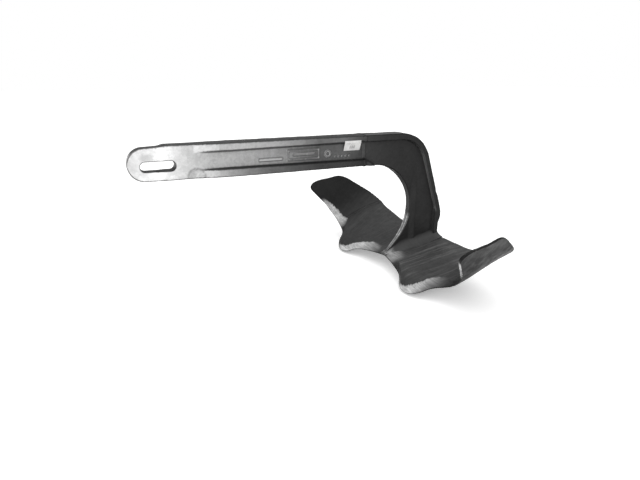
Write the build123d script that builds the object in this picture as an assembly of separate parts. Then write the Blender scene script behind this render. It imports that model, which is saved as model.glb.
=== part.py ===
"""Fixed claw-style plow anchor, about one metre long: an I-section shank arm with a slotted
eye, a cast neck that turns down into a thin front ridge, and a wide fluke with two toes and
two curled wings, welded together.

Units are millimetres.  The outlines are drawn with x running back from the tip of the eye
and z up from the middle of the arm.  Every part is then moved so that the origin is at the
bottom centre of the whole anchor: +X towards the crown, +Y to starboard, +Z up.
"""
from build123d import *
from math import asin, cos, pi, radians, sin, sqrt, tan
import os

# ---- shank arm ------------------------------------------------------------------------
FLANGE_HALF = 31.0          # half of the arm's width over its flanges
ARM_TOP = 46.5              # height of the flange's upper edges above the arm's middle
ARM_CROWN = 2.5             # rise of the upper face between its edges
ARM_BOTTOM = -48.5          # underside of the arm beyond the eye's taper
EYE_TIP = 1.5               # start of the eye
EYE_RADIUS = 45.0           # rounded end of the eye
EYE_Z = -2.2                # and its middle
EYE_TAPER_END = 330.0       # the underside drops from the eye to the full depth up to here
TONGUE_HALF = 17.0          # half of the eye tongue's thickness
TONGUE_END = 82.0           # the tongue starts to thicken here
SHOULDER_END = 98.0         # and its upper edge has the arm's full height from here
ROOT_HALF = 20.0            # half of the thickness behind the tongue
FLARE_START = 173.0         # the flanges widen from here
FLARE_MIDDLE = (250.0, 30.0)    # x and half-width where most of the widening is done
FLARE_END = 330.0           # and have their full width from here
SLOT_START = 34.0           # shackle slot, end to end along the arm
SLOT_END = 124.0
SLOT_WIDTH = 26.0
SLOT_Z = -7.5
POCKET_START = 178.0        # web pocket between the flanges, open towards the neck
POCKET_TOP = 26.0
POCKET_BOTTOM = -26.5
WEB_HALF = 20.0             # half of the web's thickness
ARM_END = 692.0             # the arm stops here and the weld to the neck follows
EDGE_ROUND = 4.0

# ---- weld between arm and neck ----------------------------------------------------------
WELD_WIDTH = 9.0
WELD_PROUD = 1.6

# ---- neck --------------------------------------------------------------------------------
NECK_START = ARM_END + WELD_WIDTH
BEND_X = 832.0              # the upper edge runs straight to here, then bends down
BEND_TOP = 47.0
BEND_RADIUS = 115.0         # outer radius of the bend
BACK_LEAN = 18.7            # lean of the neck's back from the vertical, degrees
BACK_NOSE = (1007.0, -240.0)    # swelling at the lower end of the back rim
BACK_FOOT_X = 1000.0
THROAT_X = 735.0            # the inner bend starts here
THROAT_TOP = -50.0
THROAT_RADIUS = 152.0
RIDGE_MIDDLE = (865.0, -285.0)  # a point on the front ridge as it sweeps forward
RIM = 20.0                  # width of the rim along the outer edge of the neck
NOSE_HALF = 12.0            # half of the thickness along the neck's front edge
RIDGE_HALF = 6.0            # half of the ridge's thickness at the notch
NOSE_Z = -150.0             # the front edge is thinned below this height
NOSE_FADE_Z = -60.0         # and has the web's thickness above this one
NECK_BELOW = -430.0         # lower limit of the neck's blank before it is cut to the fluke

# ---- fluke -------------------------------------------------------------------------------
FLUKE_REAR_X = 1000.0
FLUKE_REAR_Z = -317.5       # middle surface at the straight rear edge
RAKE = 0.255                # rise of the fluke per unit of length towards the rear
PLATE = 11.0                # thickness of the fluke
FRONT_BENDS = [(265.0, 178.0, 59.0)]    # half-width where a bend starts, radius, final slope
REAR_BENDS = [(183.0, 150.0, 12.0), (301.0, 198.0, 68.0)]
TWIST_FRONT = 797.0         # the front bends hold up to here, the rear ones from TWIST_REAR
TWIST_REAR = 935.0
WING_LEAN = 59.0            # slope of the wings at their upper edge, degrees
DROOP_X = 810.0             # the toes bend down ahead of this line
DROOP = 0.0052
DROOP_INSIDE = 280.0        # full droop up to this half-width
DROOP_OUTSIDE = 400.0       # none from this one
BLANK_HALF = 490.0          # half-width of the blank before it is trimmed
SEAM_Y = 349.0              # wing seam
SEAM_WIDTH = 8.0
SEAM_PROUD = 1.5
NOTCH_X = 801.0             # centre of the leading edge, where the ridge ends

# ---- foot welds --------------------------------------------------------------------------
FOOT_RISE = 33.0            # height of the fillet up the neck
FOOT_SPREAD = 44.0          # and its width over the fluke
FIT_GAP = 0.3               # clearance between the neck's foot and the fluke before welding

# ---- label -------------------------------------------------------------------------------
LABEL_START = 625.0
LABEL_LENGTH = 56.0
LABEL_TOP = 33.0
LABEL_BOTTOM = 2.0
LABEL_THICKNESS = 0.5
LABEL_GAP = 0.1


def side_plate(outline, half):
    """Solid with the given side view, as thick as half to each side of the middle plane."""
    face = make_face(Plane.XZ * outline)
    return extrude(face, amount=half, both=True)


def plan_plate(outline, low, high):
    """Solid with the given plan view between two heights."""
    return extrude(make_face(Plane.XY.offset(low) * outline), amount=high - low)


def closed(points):
    return Polyline(*points, close=True)


# ---- shank arm ------------------------------------------------------------------------
def arm_section(proud=0.0):
    """Cross-section of the arm in the YZ plane, with the crowned upper face."""
    half = FLANGE_HALF + proud
    top = ARM_TOP + proud
    bottom = ARM_BOTTOM - proud
    edges = Curve() + [
        Line((-half, bottom), (half, bottom)),
        Line((half, bottom), (half, top)),
        ThreePointArc((half, top), (0, top + ARM_CROWN), (-half, top)),
        Line((-half, top), (-half, bottom)),
    ]
    face = make_face(Plane.YZ * edges)
    return fillet(face.vertices(), EDGE_ROUND)


def web_pocket(side, proud=0.0):
    """Pocket between the flanges on one side, through to the neck; side is -1 or +1."""
    outline = closed([
        (POCKET_START, POCKET_BOTTOM + proud),
        (NECK_START + 1, POCKET_BOTTOM + proud),
        (NECK_START + 1, POCKET_TOP - proud),
        (POCKET_START, POCKET_TOP - proud),
    ])
    depth = FLANGE_HALF - WEB_HALF
    return Pos(0, side * (FLANGE_HALF + proud), 0) * side_plate(outline, depth)


def shank_arm():
    bar = extrude(arm_section(), amount=ARM_END)
    eye_x = EYE_TIP + EYE_RADIUS
    eye_top = EYE_Z + EYE_RADIUS
    crest = ARM_TOP + 2 * ARM_CROWN
    outline = Curve() + [
        Line((eye_x, eye_top), (TONGUE_END, eye_top + 1)),
        Line((TONGUE_END, eye_top + 1), (SHOULDER_END, crest)),
        Line((SHOULDER_END, crest), (ARM_END, crest)),
        Line((ARM_END, crest), (ARM_END, ARM_BOTTOM)),
        Line((ARM_END, ARM_BOTTOM), (EYE_TAPER_END, ARM_BOTTOM)),
        Line((EYE_TAPER_END, ARM_BOTTOM), (eye_x, eye_top - 2 * EYE_RADIUS)),
        ThreePointArc((eye_x, eye_top - 2 * EYE_RADIUS), (EYE_TIP, EYE_Z), (eye_x, eye_top)),
    ]
    bar = bar & side_plate(outline, FLANGE_HALF + 1)
    for side in (-1, 1):
        cheek = closed([
            (-1, side * TONGUE_HALF),
            (TONGUE_END, side * TONGUE_HALF),
            (SHOULDER_END, side * ROOT_HALF),
            (FLARE_START, side * ROOT_HALF),
            (FLARE_MIDDLE[0], side * FLARE_MIDDLE[1]),
            (FLARE_END, side * (FLANGE_HALF + 0.01)),
            (-1, side * (FLANGE_HALF + 0.01)),
        ])
        bar = bar - plan_plate(cheek, ARM_BOTTOM - 10, ARM_TOP + 10)
        bar = bar - web_pocket(side)
    slot = SlotOverall(SLOT_END - SLOT_START, SLOT_WIDTH)
    slot = Plane.XZ.offset(-FLANGE_HALF - 1) * Pos((SLOT_START + SLOT_END) / 2, SLOT_Z) * slot
    return bar - extrude(slot, amount=2 * FLANGE_HALF + 2)


def arm_weld():
    """Butt weld bead that joins the arm to the neck."""
    bead = Pos(ARM_END, 0, 0) * extrude(arm_section(WELD_PROUD), amount=WELD_WIDTH)
    return bead - web_pocket(-1, WELD_PROUD) - web_pocket(1, WELD_PROUD)


# ---- neck --------------------------------------------------------------------------------
def neck_outline():
    lean = radians(BACK_LEAN)
    centre = (BEND_X, BEND_TOP - BEND_RADIUS)
    end = (centre[0] + BEND_RADIUS * cos(lean), centre[1] + BEND_RADIUS * sin(lean))
    mid_angle = radians(90 + BACK_LEAN) / 2
    mid = (centre[0] + BEND_RADIUS * cos(mid_angle), centre[1] + BEND_RADIUS * sin(mid_angle))
    rim_end_z = BACK_NOSE[1] + 29
    rim_end = (end[0] + (end[1] - rim_end_z) * tan(lean), rim_end_z)
    foot = (BACK_FOOT_X, BACK_NOSE[1] - 28)
    throat_z = THROAT_TOP - THROAT_RADIUS
    throat_mid = (THROAT_X + THROAT_RADIUS * sin(pi / 4), throat_z + THROAT_RADIUS * cos(pi / 4))
    throat_end = (THROAT_X + THROAT_RADIUS, throat_z)
    notch = (NOTCH_X, fluke_height(NOTCH_X, 0) + PLATE / 2 + 2)
    below = (BACK_FOOT_X, FLUKE_REAR_Z - 2 * PLATE)
    return Curve() + [
        Line((NECK_START, BEND_TOP), (BEND_X, BEND_TOP)),
        ThreePointArc((BEND_X, BEND_TOP), mid, end),
        Line(end, rim_end),
        ThreePointArc(rim_end, BACK_NOSE, foot),
        Line(foot, below),
        Line(below, (NOTCH_X, NECK_BELOW)),
        Line((NOTCH_X, NECK_BELOW), notch),
        Spline(notch, RIDGE_MIDDLE, throat_end, tangents=[(1, 0.9), (0, 1)]),
        ThreePointArc(throat_end, throat_mid, (THROAT_X, THROAT_TOP)),
        Line((THROAT_X, THROAT_TOP), (NECK_START, ARM_BOTTOM)),
        Line((NECK_START, ARM_BOTTOM), (NECK_START, BEND_TOP)),
    ]


def web_cut(side):
    """Everything beside the web on one side, inside the rim along the outer edge."""
    lean = radians(BACK_LEAN)
    radius = BEND_RADIUS - RIM
    centre = (BEND_X, BEND_TOP - BEND_RADIUS)
    end = (centre[0] + radius * cos(lean), centre[1] + radius * sin(lean))
    mid_angle = radians(90 + BACK_LEAN) / 2
    mid = (centre[0] + radius * cos(mid_angle), centre[1] + radius * sin(mid_angle))
    rim_z = BACK_NOSE[1] + 29
    rim_x = end[0] + (end[1] - rim_z) * tan(lean)
    start = NECK_START - 1
    outline = Curve() + [
        Line((start, BEND_TOP - RIM), (BEND_X, BEND_TOP - RIM)),
        ThreePointArc((BEND_X, BEND_TOP - RIM), mid, end),
        Line(end, (rim_x, rim_z)),
        Line((rim_x, rim_z), (rim_x, NECK_BELOW)),
        Line((rim_x, NECK_BELOW), (THROAT_X - 60, NECK_BELOW)),
        Line((THROAT_X - 60, NECK_BELOW), (THROAT_X + 45, ARM_BOTTOM - 30)),
        Line((THROAT_X + 45, ARM_BOTTOM - 30), (start, POCKET_BOTTOM)),
        Line((start, POCKET_BOTTOM), (start, BEND_TOP - RIM)),
    ]
    depth = FLANGE_HALF - WEB_HALF
    plate = side_plate(outline, depth)
    return Pos(0, side * FLANGE_HALF, 0) * plate


def nose_cut(side):
    """Thins the neck's front edge and the ridge, fading out up the neck."""
    far = WEB_HALF + 2
    front = THROAT_X - 60
    back = THROAT_X + THROAT_RADIUS + 20
    nose = THROAT_X + THROAT_RADIUS
    low = [(front, far), (back, far), (back, WEB_HALF), (nose, NOSE_HALF),
           (NOTCH_X, RIDGE_HALF), (front, RIDGE_HALF)]
    high = [(front, far), (back, far), (back, WEB_HALF + 0.4), (nose, WEB_HALF + 0.3),
            (NOTCH_X, WEB_HALF + 0.2), (front, WEB_HALF + 0.1)]
    low = [(x, side * y) for x, y in low]
    high = [(x, side * y) for x, y in high]
    prism = plan_plate(closed(low), NECK_BELOW, NOSE_Z)
    lower = make_face(Plane.XY.offset(NOSE_Z) * closed(low))
    upper = make_face(Plane.XY.offset(NOSE_FADE_Z) * closed(high))
    return prism + loft([lower, upper], ruled=True)


def shank_neck(ground):
    neck = side_plate(neck_outline(), FLANGE_HALF)
    for side in (-1, 1):
        neck = neck - web_cut(side)
        neck = neck - nose_cut(side)
    return neck - ground


# ---- fluke -------------------------------------------------------------------------------
def curl(y, bends):
    """Rise of the cross-section at a half-width, over a row of bends."""
    rise, slope, place = 0.0, 0.0, 0.0
    for start, radius, angle in bends:
        if y <= start:
            break
        rise += (start - place) * tan(slope)
        end = start + radius * (sin(radians(angle)) - sin(slope))
        place = min(y, end)
        sine = sin(slope) + (place - start) / radius
        rise += radius * (cos(slope) - sqrt(1 - sine * sine))
        slope = asin(sine)
    return rise + (y - place) * tan(slope)


def smooth(value):
    """Rises from 0 to 1 without a kink."""
    value = min(1.0, max(0.0, value))
    return value * value * (3 - 2 * value)


def fluke_height(x, y):
    """Height of the fluke's middle surface."""
    y = abs(y)
    twist = smooth((x - TWIST_FRONT) / (TWIST_REAR - TWIST_FRONT))
    rise = (1 - twist) * curl(y, FRONT_BENDS) + twist * curl(y, REAR_BENDS)
    ahead = max(0.0, DROOP_X - x)
    fade = smooth((DROOP_OUTSIDE - y) / (DROOP_OUTSIDE - DROOP_INSIDE))
    return FLUKE_REAR_Z - RAKE * (FLUKE_REAR_X - x) + rise - DROOP * ahead * ahead * fade


def fluke_surface(below):
    """Blank surface, larger than the fluke all round, so far below the middle surface."""
    step = 0.01
    rows = []
    for i in range(14):
        x = 680 + 27 * i
        row = []
        for j in range(-24, 25):
            y = BLANK_HALF * j / 24
            slope_x = (fluke_height(x + step, y) - fluke_height(x - step, y)) / (2 * step)
            slope_y = (fluke_height(x, y + step) - fluke_height(x, y - step)) / (2 * step)
            lean = sqrt(1 + slope_x * slope_x + slope_y * slope_y)
            row.append(Vector(x, y, fluke_height(x, y) - below * lean))
        rows.append(row)
    surface = Face.make_surface_from_array_of_points(rows, tol=0.3, min_deg=3, max_deg=5)
    if surface.normal_at(surface.center()).Z < 0:
        surface = -surface
    return surface


def fluke_top(x):
    """Height just over the upper surface at the neck."""
    slope = RAKE + 2 * DROOP * max(0.0, DROOP_X - x)
    return fluke_height(x, 0) + (PLATE / 2 + FIT_GAP) * sqrt(1 + slope * slope)


def below_fluke():
    """Everything under the fluke's upper surface around the neck."""
    crest = [(x, fluke_top(x)) for x in (700, 725, 750, 775, 795, DROOP_X)]
    rear = (1030, fluke_top(1030))
    outline = Curve() + [
        Spline(*crest),
        Line(crest[-1], rear),
        Line(rear, (1030, -520)),
        Line((1030, -520), (700, -520)),
        Line((700, -520), crest[0]),
    ]
    return side_plate(outline, 120)


def half_leading_edge():
    """Plan view of the leading edge from the centre notch to beyond the wing tip."""
    return [(NOTCH_X, 0), (791, 55), (780, 102), (766, 146), (749, 172), (741, 196),
            (740, 222), (745, 243), (760, 269), (779, 286), (794, 310), (800, 346),
            (797, 380), (786, 406), (773, 423), (758, 436), (744, 448), (733, 459),
            (728, 470), (727, 500)]


def plan_prism():
    """Everything behind the leading edge and ahead of the straight rear edge."""
    edge = half_leading_edge()
    mirrored = [(x, -y) for x, y in reversed(edge[1:])]
    front = Spline(*(mirrored + edge))
    left, right = edge[-1][1], -edge[-1][1]
    outline = Curve() + [
        front,
        Line(edge[-1], (FLUKE_REAR_X, left)),
        Line((FLUKE_REAR_X, left), (FLUKE_REAR_X, right)),
        Line((FLUKE_REAR_X, right), mirrored[0]),
    ]
    return plan_plate(outline, -600, 100)


def wing_edge():
    """Upper edge of a wing from the tip back, as x and half-width on the middle surface."""
    return [(722, 452), (727, 466), (738, 473), (760, 476), (790, 475), (838, 468), (862, 462),
            (887, 452), (912, 442), (941, 427), (971, 403), (1003, 356), (1030, 305)]


def wing_prism(side):
    """Everything below one wing's upper edge, cut square to the wing."""
    lean = radians(WING_LEAN)
    edge = [(x, fluke_height(x, y) + y / tan(lean)) for x, y in wing_edge()]
    front, rear = edge[0][0], edge[-1][0]
    outline = Curve() + [
        Spline(*edge),
        Line(edge[-1], (rear, -520)),
        Line((rear, -520), (front, -520)),
        Line((front, -520), edge[0]),
    ]
    face = make_face(Plane.XZ * outline)
    return extrude(face, amount=650, dir=(0, side * sin(lean), -cos(lean)))


def slab(low, high):
    """Everything between two distances to starboard."""
    return Pos(FLUKE_REAR_X - 150, (low + high) / 2, -300) * Box(600, high - low, 700)


def fluke_parts():
    """Centre plate, wings and the welds between them."""
    trim = plan_prism() & (wing_prism(-1) + wing_prism(1))
    plate = Solid.thicken(fluke_surface(PLATE / 2), PLATE) & trim
    bead_half = PLATE / 2 + SEAM_PROUD
    bead = Solid.thicken(fluke_surface(bead_half), 2 * bead_half) & trim
    inner = SEAM_Y - SEAM_WIDTH / 2
    outer = SEAM_Y + SEAM_WIDTH / 2
    parts = {"fluke_center": plate & slab(-inner, inner)}
    for name, side in (("port", -1), ("starboard", 1)):
        low, high = sorted((side * outer, side * 600))
        parts["fluke_wing_" + name] = plate & slab(low, high)
        low, high = sorted((side * inner, side * outer))
        parts["wing_weld_" + name] = bead & slab(low, high)
    return parts


# ---- foot welds --------------------------------------------------------------------------
def foot_weld(side, neck, ground):
    """Concave fillet along one side of the neck's foot."""
    stations = [(812, 0.5, 0.75), (850, 0.9, 0.95), (895, 1, 1), (945, 1, 1), (998, 1, 1)]
    sections = []
    for x, rise_share, spread_share in stations:
        rise = FOOT_RISE * rise_share
        spread = FOOT_SPREAD * spread_share
        base = fluke_top(x)
        nose = THROAT_X + THROAT_RADIUS
        share = min(1.0, max(0.0, (x - NOTCH_X) / (nose - NOTCH_X)))
        half = RIDGE_HALF + (NOSE_HALF - RIDGE_HALF) * share
        if x > nose:
            half = min(WEB_HALF, NOSE_HALF + (WEB_HALF - NOSE_HALF) * (x - nose) / 20)
        plane = Plane(origin=(x, 0, base), x_dir=(0, 1, 0), z_dir=(1, 0, 0))
        inside = side * 0.5 * RIDGE_HALF
        outline = Curve() + [
            Line((inside, -5), (side * (half + spread), -5)),
            Line((side * (half + spread), -5), (side * (half + spread), 0.6)),
            ThreePointArc((side * (half + spread), 0.6),
                          (side * (half + spread * 0.32), rise * 0.30),
                          (side * (half + 0.4), rise)),
            Line((side * (half + 0.4), rise), (inside, rise)),
            Line((inside, rise), (inside, -5)),
        ]
        sections.append(make_face(plane * outline))
    weld = loft(sections)
    return weld - neck - ground


# ---- label -------------------------------------------------------------------------------
def price_label():
    """Thin paper label on the port side, leaning from the web over the upper rim's edge."""
    web = -(WEB_HALF + LABEL_GAP)
    rim = -(FLANGE_HALF + LABEL_GAP)
    back = [(web, LABEL_BOTTOM), (rim, POCKET_TOP), (rim, LABEL_TOP)]
    front = [(y - LABEL_THICKNESS, z) for y, z in reversed(back)]
    plane = Plane(origin=(LABEL_START, 0, 0), x_dir=(0, 1, 0), z_dir=(1, 0, 0))
    return extrude(make_face(plane * closed(back + front)), amount=LABEL_LENGTH)


def build():
    parts = fluke_parts()
    ground = below_fluke()
    neck = shank_neck(ground)
    parts["shank_neck"] = neck
    parts["shank_arm"] = shank_arm()
    parts["arm_weld"] = arm_weld()
    for name, side in (("port", -1), ("starboard", 1)):
        parts["foot_weld_" + name] = foot_weld(side, neck, ground)
    parts["price_label"] = price_label()
    boxes = [part.bounding_box() for part in parts.values()]
    low_x = min(box.min.X for box in boxes)
    high_x = max(box.max.X for box in boxes)
    low_z = min(box.min.Z for box in boxes)
    shift = Pos(-(low_x + high_x) / 2, 0, -low_z)
    os.makedirs("parts", exist_ok=True)
    for name, part in parts.items():
        export_step(shift * part, f"parts/{name}.step")
    print("shift", -(low_x + high_x) / 2, -low_z)
    print("length", high_x - low_x)


build()
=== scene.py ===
"""Looks of a fixed claw-style plow anchor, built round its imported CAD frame.

Shapes are drawn in the drawing frame of the anchor, in millimetres: x runs back from the eye's
tip, y to starboard and z up from the middle of the arm.  place() turns them into the frame.
"""
from math import cos, pi, radians, sin, sqrt, tan

import bmesh
import bpy
import numpy as np
from mathutils import Matrix, Vector


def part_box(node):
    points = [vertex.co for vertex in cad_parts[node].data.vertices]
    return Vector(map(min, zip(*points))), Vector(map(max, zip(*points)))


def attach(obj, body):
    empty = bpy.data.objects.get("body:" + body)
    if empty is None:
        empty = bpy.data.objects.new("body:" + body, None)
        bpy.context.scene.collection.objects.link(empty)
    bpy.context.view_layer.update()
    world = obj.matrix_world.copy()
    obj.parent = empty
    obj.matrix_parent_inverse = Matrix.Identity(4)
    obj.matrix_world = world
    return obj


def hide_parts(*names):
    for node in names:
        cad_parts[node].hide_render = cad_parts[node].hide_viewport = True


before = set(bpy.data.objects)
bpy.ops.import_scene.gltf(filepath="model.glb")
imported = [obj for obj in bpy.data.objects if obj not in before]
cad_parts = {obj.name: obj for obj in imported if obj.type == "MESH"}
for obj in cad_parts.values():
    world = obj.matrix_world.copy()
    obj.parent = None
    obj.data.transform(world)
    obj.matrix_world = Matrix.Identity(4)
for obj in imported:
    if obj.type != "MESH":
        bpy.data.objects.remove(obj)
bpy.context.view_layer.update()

EYE_TIP = 1.5               # foremost point of the eye
ARM_BOTTOM = -48.5
ARM_TOP = 46.5
BEAD_PAST = 1.5             # the arm weld's bead laps over both of its neighbours
arm_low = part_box("shank_arm")[0]
weld_low, weld_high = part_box("arm_weld")
SHIFT = np.array([1000 * arm_low.x - EYE_TIP, 0.0, 1000 * arm_low.z - ARM_BOTTOM])
weld_start = 1000 * weld_low.x - SHIFT[0] - BEAD_PAST
weld_end = 1000 * weld_high.x - SHIFT[0] + BEAD_PAST


def place(points):
    """From the drawing frame in millimetres to the CAD frame in metres."""
    return (np.asarray(points, float) + SHIFT) / 1000


def smooth(value):
    value = np.clip(value, 0.0, 1.0)
    return value * value * (3 - 2 * value)


def waves(points, size, seed, layers=4):
    """Smooth uneven field between about -1 and 1, the same each run."""
    draw = np.random.default_rng(seed)
    total = np.zeros(len(points))
    for _ in range(layers):
        turn = draw.normal(size=(3, 3))
        turn /= np.linalg.norm(turn, axis=1)[:, None]
        phase = draw.uniform(0, 2 * pi, 3)
        scale = size * (0.75 + 0.5 * draw.random())
        angle = points @ turn.T * (2 * pi / scale) + phase
        total += np.sin(angle[:, 0] + 1.3 * np.sin(angle[:, 1] * 0.7)) * np.cos(angle[:, 2] * 0.8)
    return total / sqrt(layers)


# ---- meshes -----------------------------------------------------------------------------
def new_object(name, points, faces, flat=False):
    mesh = bpy.data.meshes.new(name)
    mesh.from_pydata([tuple(p) for p in place(points)], [], faces)
    tidy = bmesh.new()
    tidy.from_mesh(mesh)
    bmesh.ops.remove_doubles(tidy, verts=tidy.verts, dist=2e-6)
    bmesh.ops.dissolve_degenerate(tidy, edges=tidy.edges, dist=2e-6)
    bmesh.ops.recalc_face_normals(tidy, faces=tidy.faces)
    tidy.to_mesh(mesh)
    tidy.free()
    if not flat:
        mesh.shade_smooth()
    piece = bpy.data.objects.new(name, mesh)
    bpy.context.scene.collection.objects.link(piece)
    return piece


def points_of(piece):
    co = np.zeros(len(piece.data.vertices) * 3)
    piece.data.vertices.foreach_get("co", co)
    return co.reshape(-1, 3) * 1000 - SHIFT


def normals_of(piece):
    out = np.zeros(len(piece.data.vertices) * 3)
    piece.data.vertex_normals.foreach_get("vector", out)
    return out.reshape(-1, 3)


def set_points(piece, points):
    piece.data.vertices.foreach_set("co", place(points).ravel())
    piece.data.update()


def mark(piece, name, values):
    layer = piece.data.attributes.new(name, "FLOAT", "POINT")
    layer.data.foreach_set("value", np.asarray(values, np.float32))


def loops_to_faces(rows, count, capped=True):
    """Quads between closed loops of the same number of points, laid one after the other."""
    faces = []
    for row in range(rows - 1):
        a, b = row * count, (row + 1) * count
        for k in range(count):
            n = (k + 1) % count
            faces.append((a + k, a + n, b + n, b + k))
    if capped:
        faces.append(tuple(range(count)))
        faces.append(tuple(range((rows - 1) * count, rows * count)))
    return faces


def remeshed(name, parts, voxel, rounds):
    """One soft-edged skin over several closed meshes, like a casting's."""
    mesh = bpy.data.meshes.new(name)
    whole = bmesh.new()
    for part in parts:
        whole.from_mesh(part)
    bmesh.ops.remove_doubles(whole, verts=whole.verts, dist=2e-6)
    whole.to_mesh(mesh)
    whole.free()
    rough = bpy.data.objects.new(name + "_rough", mesh)
    bpy.context.scene.collection.objects.link(rough)
    remesh = rough.modifiers.new("skin", "REMESH")
    remesh.mode = "VOXEL"
    remesh.voxel_size = voxel / 1000
    soften = rough.modifiers.new("soften", "SMOOTH")
    soften.factor = 0.5
    soften.iterations = rounds
    graph = bpy.context.evaluated_depsgraph_get()
    skin = bpy.data.meshes.new_from_object(rough.evaluated_get(graph))
    skin.name = name
    skin.materials.clear()
    skin.shade_smooth()
    bpy.data.objects.remove(rough)
    bpy.data.meshes.remove(mesh)
    piece = bpy.data.objects.new(name, skin)
    bpy.context.scene.collection.objects.link(piece)
    return piece


def shape_marks(piece):
    """Marks rounded arrises and hollow creases by the mesh's own curvature, for painted shade on both.
    """
    ends = np.zeros(2 * len(piece.data.edges), int)
    piece.data.edges.foreach_get("vertices", ends)
    one, other = ends.reshape(-1, 2).T
    points, normals = points_of(piece), normals_of(piece)
    gap = points[other] - points[one]
    square = (gap ** 2).sum(1)
    total, weight, count = np.zeros_like(points), np.zeros(len(points)), np.zeros(len(points))
    for a, sign in ((one, 1), (other, -1)):
        np.add.at(total, a, sign * gap)
        np.add.at(weight, a, square)
        np.add.at(count, a, 1)
    bend = -2 * (total * normals).sum(1) / np.maximum(weight, 1e-6)
    for _ in range(2):
        around = np.zeros(len(points))
        np.add.at(around, one, bend[other])
        np.add.at(around, other, bend[one])
        bend = 0.5 * bend + 0.5 * around / np.maximum(count, 1)
    mark(piece, "edge_shade", smooth((bend - 0.035) / 0.07))
    mark(piece, "crease_shade", smooth((-bend - 0.03) / 0.07))


def cast_skin(piece, seed, fine=0.18, broad=0.35):
    """Uneven surface of a casting, as real relief."""
    points = points_of(piece)
    rise = fine * waves(points, 14, seed) + broad * waves(points, 75, seed + 1)
    set_points(piece, points + normals_of(piece) * rise[:, None])


# ---- arm --------------------------------------------------------------------------------
EYE_R, EYE_Z = 45.0, -2.2
EYE_TAPER_END = 330         # the underside has its full depth from here
SHOULDER_START = 82         # the upper edge rises to the arm's height from here
ARM_END = 692.0
SLOT_START, SLOT_END, SLOT_WIDTH, SLOT_Z = 34, 124, 26, -7.5
FLANGE, TONGUE, WEB = 31.0, 17.0, 20.0      # half-thicknesses
CROWN = 2.5                 # rise of the upper face between its edges


def arm_loop(x):
    """Closed cross-section of the arm at x."""
    if x < EYE_TIP + EYE_R:
        reach = sqrt(max(0.0, EYE_R ** 2 - (EYE_TIP + EYE_R - x) ** 2))
        top, bottom = EYE_Z + reach, EYE_Z - reach
    else:
        share = (x - EYE_TIP - EYE_R) / (EYE_TAPER_END - EYE_TIP - EYE_R)
        bottom = EYE_Z - EYE_R + (ARM_BOTTOM - EYE_Z + EYE_R) * min(1.0, share)
        top = EYE_Z + EYE_R + 1.5 * min(1.0, (x - EYE_TIP - EYE_R) / 40)
        top += (ARM_TOP - EYE_Z - EYE_R - 1.5) * float(smooth((x - SHOULDER_START) / 16))
    half = TONGUE + (WEB - TONGUE) * float(smooth((x - 80) / 19))
    half += float(np.interp(x, [173, 188, 205, 240, 262, 300, 335],
                            [0, 2.4, 4.9, 9.6, 11.1, 11.7, FLANGE - WEB]))
    crown = CROWN * float(smooth((x - SHOULDER_START) / 16))
    depth = max(0.0, half - WEB)
    height = top - bottom
    if x < 170:
        low, high = bottom + 0.235 * height, top - 0.245 * height
    else:
        low, high = -23.5 - 0.008 * (x - 190), 23.5 + 0.0075 * (x - 190)
    step = 0.026 * height
    corner = min(4.0, 0.2 * height, 0.45 * half)
    side = [(0.0, bottom), (0.5 * half, bottom)]
    for k in range(7):
        angle = radians(-90 + 15 * k)
        side.append((half - corner + corner * cos(angle), bottom + corner + corner * sin(angle)))
    for k in range(7):
        side.append((half - depth * float(smooth(k / 6)), low - step + 2 * step * k / 6))
    for k in range(1, 8):
        side.append((half - depth, low + step + (high - low - 2 * step) * k / 8))
    for k in range(7):
        side.append((half - depth * float(smooth(1 - k / 6)), high - step + 2 * step * k / 6))
    for k in range(7):
        angle = radians(15 * k)
        side.append((half - corner + corner * cos(angle), top - corner + corner * sin(angle)))
    for k in range(1, 5):
        y = (half - corner) * (1 - k / 4)
        side.append((y, top + crown * (1 - (y / half) ** 2)))
    other = [(-y, z) for y, z in side[-2:0:-1]]
    return [(x, y, z) for y, z in side + other]


def slot_cutter(start, end, width, z):
    """Prism of the shackle slot, with rounded ends."""
    radius = width / 2
    outline = []
    for k in range(25):
        angle = radians(90 + 7.5 * k)
        outline.append((start + radius + radius * cos(angle), z + radius * sin(angle)))
    for k in range(25):
        angle = radians(-90 + 7.5 * k)
        outline.append((end - radius + radius * cos(angle), z + radius * sin(angle)))
    loops = [(x, y, zz) for y in (-60, 60) for x, zz in outline]
    return new_object("slot_cutter", loops, loops_to_faces(2, len(outline)), flat=True)


def raise_pads(points, normals):
    """Blank raised marks on the web of the arm: a bar, a frame round a bar, a boss and studs."""
    x, z = points[:, 0], points[:, 2]
    web = smooth((np.abs(normals[:, 1]) - 0.8) / 0.15) * (np.abs(points[:, 1]) < FLANGE - 5)

    def block(x0, x1, z0, z1, soft=1.6):
        return (smooth((x - x0) / soft) * smooth((x1 - x) / soft)
                * smooth((z - z0) / soft) * smooth((z1 - z) / soft))

    rise = block(352, 428, -14, -4)
    rise += block(440, 546, -17, 17) - block(445, 541, -12, 12)
    rise += block(456, 530, -4, 4)
    rise += smooth((12.5 - np.hypot(x - 572, z + 3)) / 1.8)
    rise -= 0.7 * smooth((7.0 - np.hypot(x - 572, z + 3)) / 1.8)
    for k in range(5):
        rise += smooth((4.2 - np.hypot(x - 598 - 12 * k, z + 13)) / 1.6)
    return rise * web * 1.9


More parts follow.
